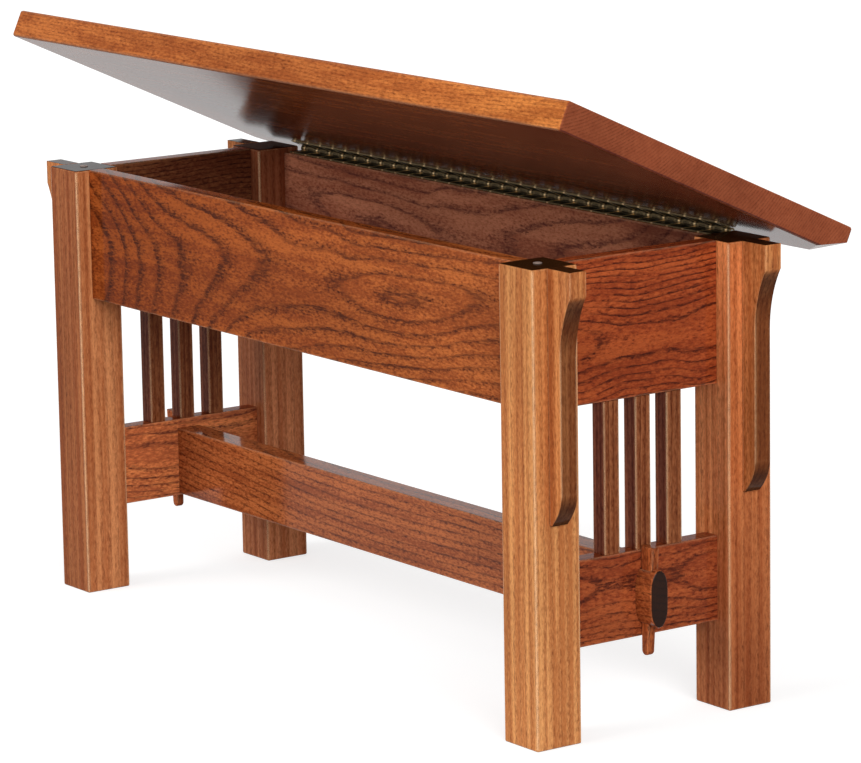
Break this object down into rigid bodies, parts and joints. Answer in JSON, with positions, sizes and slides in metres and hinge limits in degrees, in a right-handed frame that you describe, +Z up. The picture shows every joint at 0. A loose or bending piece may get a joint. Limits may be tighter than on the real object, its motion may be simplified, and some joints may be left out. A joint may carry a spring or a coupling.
{
  "type": "storage bench",
  "caption": "Oak storage bench with a hinged lid over a shallow box, corbelled square legs, slatted ends and a stretcher wedged through the end rails.",
  "frame": {"origin": "on the floor, midway along the bench and midway between the front and rear reach of the bench with its lid as pictured, standing open by 24.4 degrees", "axes": "+X along the bench to its right end, +Y from the front to the hinge at the back, +Z up"},
  "size_m": [1.016, 0.3656, 0.6526],
  "materials": {
    "oak_legs": "stained oak under gloss lacquer, straight grain along the leg",
    "oak_box": "stained flat-sawn oak under gloss lacquer",
    "oak_rails": "stained oak under gloss lacquer, grain along the piece",
    "oak_lid": "stained oak under gloss lacquer, grain along the lid",
    "brass": "aged brass-plated strip",
    "hinge_pin": "bright wire",
    "bumper": "matt disc"
  },
  "bodies": {
    "frame": {"leg_front_left": "oak_legs", "leg_front_right": "oak_legs", "leg_rear_left": "oak_legs", "leg_rear_right": "oak_legs", "corbel_front_left": "oak_legs", "corbel_front_right": "oak_legs", "corbel_rear_left": "oak_legs", "corbel_rear_right": "oak_legs", "front_apron": "oak_box", "rear_apron": "oak_box", "end_apron_left": "oak_box", "end_apron_right": "oak_box", "box_floor": "oak_box", "end_rail_left": "oak_rails", "end_rail_right": "oak_rails", "slat_left_1": "oak_rails", "slat_left_2": "oak_rails", "slat_left_3": "oak_rails", "slat_right_1": "oak_rails", "slat_right_2": "oak_rails", "slat_right_3": "oak_rails", "stretcher": "oak_rails", "tusk_wedge_left": "oak_rails", "tusk_wedge_right": "oak_rails", "hinge_leaf_apron": "brass", "hinge_pin": "hinge_pin", "bumper_front_left": "bumper", "bumper_front_right": "bumper"},
    "lid_panel": {"lid": "oak_lid", "hinge_leaf_lid": "brass"}
  },
  "joints": [
    {"name": "lid_hinge", "type": "hinge", "parent": "frame", "child": "lid_panel", "pos_m": [0, 0.12665, 0.48035], "axis": [-1, 0, 0], "range_deg": [-24.43, 70.57]}
  ]
}
